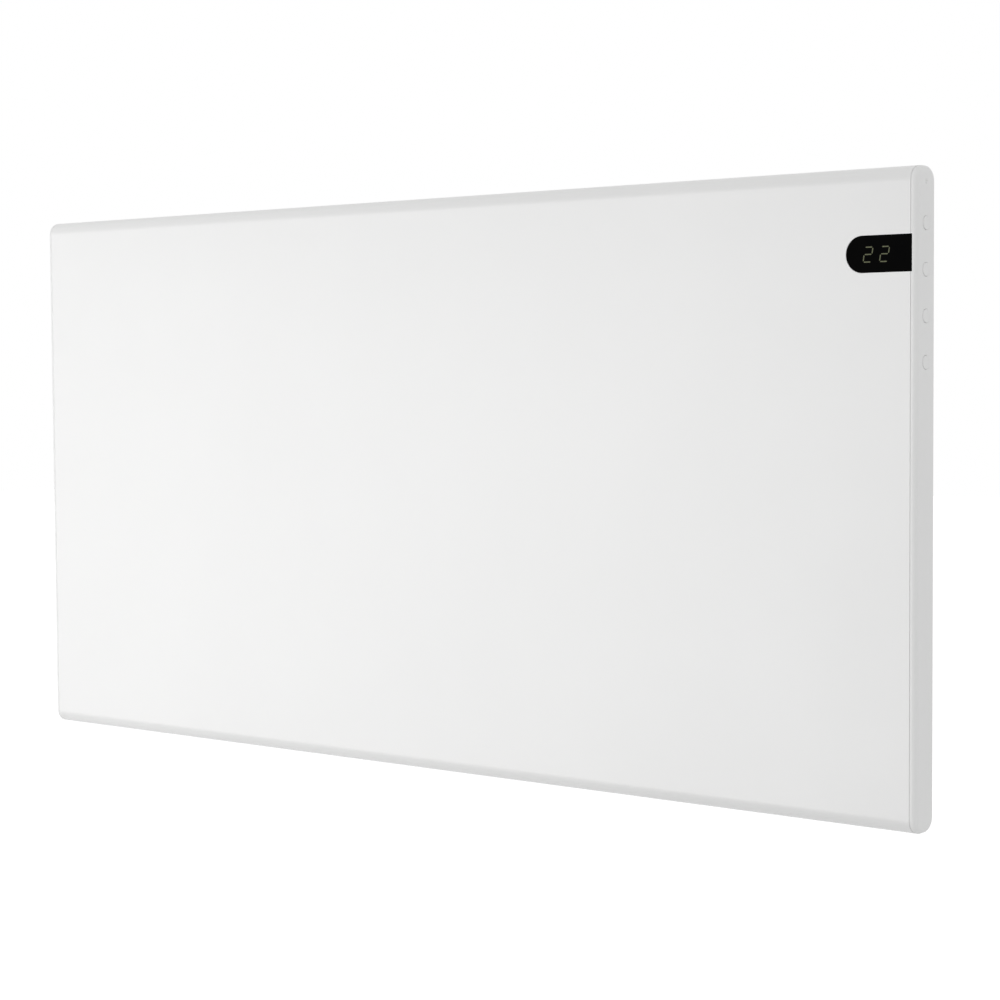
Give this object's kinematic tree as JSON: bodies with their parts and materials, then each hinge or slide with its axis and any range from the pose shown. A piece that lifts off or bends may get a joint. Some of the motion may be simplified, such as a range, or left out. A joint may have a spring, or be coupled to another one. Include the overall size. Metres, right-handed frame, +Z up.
{
  "type": "wall panel heater",
  "caption": "Slim white wall panel convector heater with rounded edges, an end display window and side keys, hung on a steel wall bracket it tilts away from.",
  "frame": {"origin": "on the wall, at the centre of the bracket's four wall screws", "axes": "+X to the right seen from the front, +Y into the wall, +Z up"},
  "size_m": [0.7253, 0.084, 0.37],
  "materials": {
    "white_paint": "smooth satin powder coat",
    "cap_plastic": "moulded plastic in the panel's white, fine satin texture",
    "window_black": "black high-gloss display window",
    "part_black": "black moulded plastic",
    "part_white": "natural white nylon",
    "part_blue": "relay case",
    "board_green": "circuit board with green solder resist",
    "light_clear": "clear light guide",
    "zinc_steel": "galvanised sheet steel",
    "fastener_steel": "bright zinc plated",
    "lock_plastic": "white glass-filled nylon",
    "bumper_rubber": "soft black rubber",
    "element_aluminium": "extruded, plain",
    "sheath_steel": "stainless sheath, slightly heat tinted",
    "bush_ceramic": "unglazed steatite",
    "gland_plastic": "light grey nylon"
  },
  "bodies": {
    "wall_bracket": {"left_upright": "zinc_steel", "right_upright": "zinc_steel", "top_rail": "zinc_steel", "bottom_rail": "zinc_steel", "bracket_rivets": "fastener_steel", "left_hinge_pin": "fastener_steel", "right_hinge_pin": "fastener_steel", "rail_bumpers": "bumper_rubber", "left_lock_rivet": "fastener_steel", "right_lock_rivet": "fastener_steel"},
    "left_lock": {"left_turn_lock": "lock_plastic"},
    "right_lock": {"right_turn_lock": "lock_plastic"},
    "heater": {"baffle_plate": "zinc_steel", "board_fuse": "part_black", "board_standoffs": "part_white", "cable_gland": "gland_plastic", "cap_screws": "fastener_steel", "capacitors": "part_black", "digit_module": "part_black", "display_board": "board_green", "display_carrier": "part_black", "display_window": "window_black", "earth_screw": "fastener_steel", "element_bushes": "bush_ceramic", "element_fins": "element_aluminium", "element_rod": "sheath_steel", "element_terminals": "sheath_steel", "front_panel": "white_paint", "gland_nut": "gland_plastic", "heat_shield": "zinc_steel", "key_board": "board_green", "left_element_hanger": "zinc_steel", "left_end_cap": "cap_plastic", "left_hinge_ear": "zinc_steel", "light_guide": "light_clear", "power_board": "board_green", "rear_tray": "white_paint", "relay": "part_blue", "right_element_hanger": "zinc_steel", "right_end_cap": "cap_plastic", "right_hinge_ear": "zinc_steel", "room_sensor": "part_black", "sensor_holder": "part_white", "tact_switches": "part_black", "terminal_block": "part_white", "thermal_cutout": "bush_ceramic", "transformer": "part_black", "tray_screws": "fastener_steel"},
    "power_key": {"power_key": "cap_plastic", "power_key_plunger": "part_black"},
    "up_key": {"up_key": "cap_plastic", "up_key_plunger": "part_black"},
    "down_key": {"down_key": "cap_plastic", "down_key_plunger": "part_black"},
    "mode_key": {"mode_key": "cap_plastic", "mode_key_plunger": "part_black"}
  },
  "joints": [
    {"name": "heater_tilt", "type": "hinge", "parent": "wall_bracket", "child": "heater", "pos_m": [0, -0.02, -0.14], "axis": [1, 0, 0], "range_deg": [0, 20]},
    {"name": "left_lock_turn", "type": "hinge", "parent": "wall_bracket", "child": "left_lock", "pos_m": [-0.15, -0.015, 0.17], "axis": [0, 0, 1], "range_deg": [0, 90]},
    {"name": "right_lock_turn", "type": "hinge", "parent": "wall_bracket", "child": "right_lock", "pos_m": [0.15, -0.015, 0.17], "axis": [0, 0, -1], "range_deg": [0, 90]},
    {"name": "power_key_press", "type": "slide", "parent": "heater", "child": "power_key", "axis": [-1, 0, 0], "range_m": [0, 0.0008], "stiffness_N_per_m": 2500},
    {"name": "up_key_press", "type": "slide", "parent": "heater", "child": "up_key", "axis": [-1, 0, 0], "range_m": [0, 0.0008], "stiffness_N_per_m": 2500},
    {"name": "down_key_press", "type": "slide", "parent": "heater", "child": "down_key", "axis": [-1, 0, 0], "range_m": [0, 0.0008], "stiffness_N_per_m": 2500},
    {"name": "mode_key_press", "type": "slide", "parent": "heater", "child": "mode_key", "axis": [-1, 0, 0], "range_m": [0, 0.0008], "stiffness_N_per_m": 2500}
  ]
}
